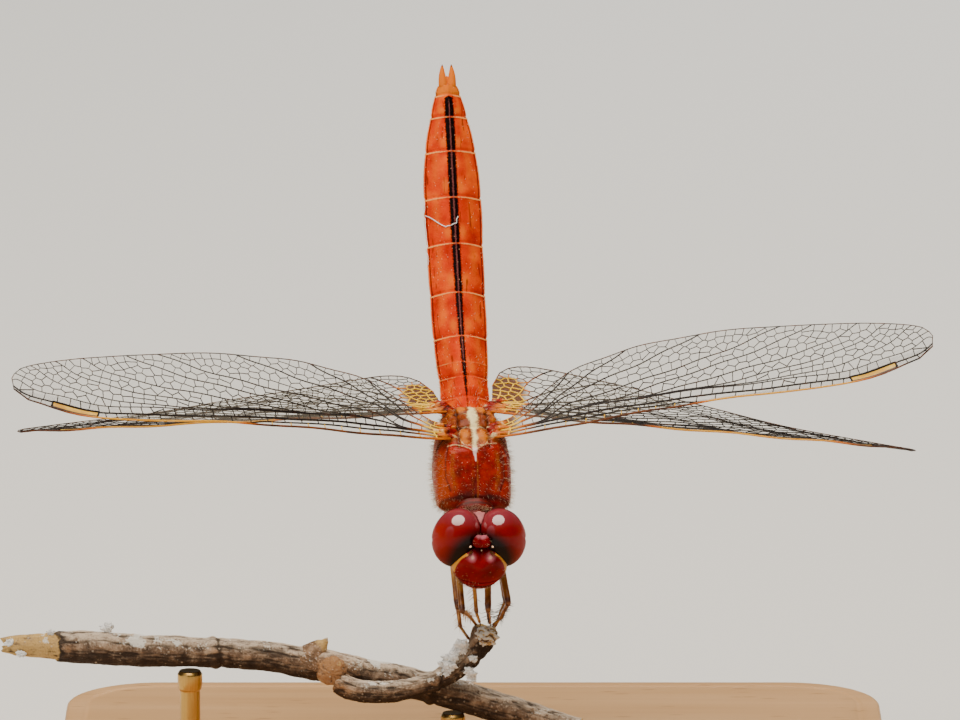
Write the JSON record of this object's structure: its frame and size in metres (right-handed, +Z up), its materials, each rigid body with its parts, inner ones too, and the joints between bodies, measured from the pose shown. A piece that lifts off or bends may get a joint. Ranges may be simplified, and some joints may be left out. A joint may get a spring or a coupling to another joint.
{
  "type": "dragonfly",
  "caption": "Life-size scarlet dragonfly with clear veined wings, head down and tail raised, gripping a side twig on a cut branch held over a flat base by slim rods.",
  "frame": {"origin": "centre of the display base's underside", "axes": "+X towards the insect's left wings, +Y away from its head towards the raised tail, +Z up, so -Z is the outward normal of the base's underside"},
  "size_m": [0.0684, 0.054, 0.0531],
  "materials": {
    "abdomen": "satin scarlet cuticle with a black line along the back",
    "thorax": "satin dark red cuticle with short hairs",
    "head": "glossy dark red cuticle",
    "eye": "glossy deep red",
    "wing": "clear membrane with dark veins",
    "leg": "satin dark brown cuticle with spines",
    "twig": "rough grey-brown bark",
    "base": "sanded and oiled pale beech",
    "rod": "polished brass"
  },
  "bodies": {
    "root": {"abdomen_01": "abdomen", "abdomen_02": "abdomen", "abdomen_03": "abdomen", "abdomen_04": "abdomen", "abdomen_05": "abdomen", "abdomen_06": "abdomen", "abdomen_07": "abdomen", "abdomen_08": "abdomen", "abdomen_09": "abdomen", "abdomen_10": "abdomen", "antenna_left": "leg", "antenna_right": "leg", "cercus_left": "abdomen", "cercus_right": "abdomen", "clypeus": "head", "eye_left": "eye", "eye_right": "eye", "femur_fore_left": "leg", "femur_fore_right": "leg", "femur_hind_left": "leg", "femur_hind_right": "leg", "femur_middle_left": "leg", "femur_middle_right": "leg", "frons": "head", "head": "head", "labium": "head", "labrum": "head", "perch_knot": "twig", "perch_main_twig": "twig", "perch_side_twig": "twig", "prothorax": "thorax", "stand_base": "base", "stand_rod_left": "rod", "stand_rod_right": "rod", "tarsus_fore_left": "leg", "tarsus_fore_right": "leg", "tarsus_hind_left": "leg", "tarsus_hind_right": "leg", "tarsus_middle_left": "leg", "tarsus_middle_right": "leg", "thorax": "thorax", "tibia_fore_left": "leg", "tibia_fore_right": "leg", "tibia_hind_left": "leg", "tibia_hind_right": "leg", "tibia_middle_left": "leg", "tibia_middle_right": "leg", "vertex": "head", "wing_fore_left": "wing", "wing_fore_right": "wing", "wing_hind_left": "wing", "wing_hind_right": "wing"}
  },
  "joints": []
}
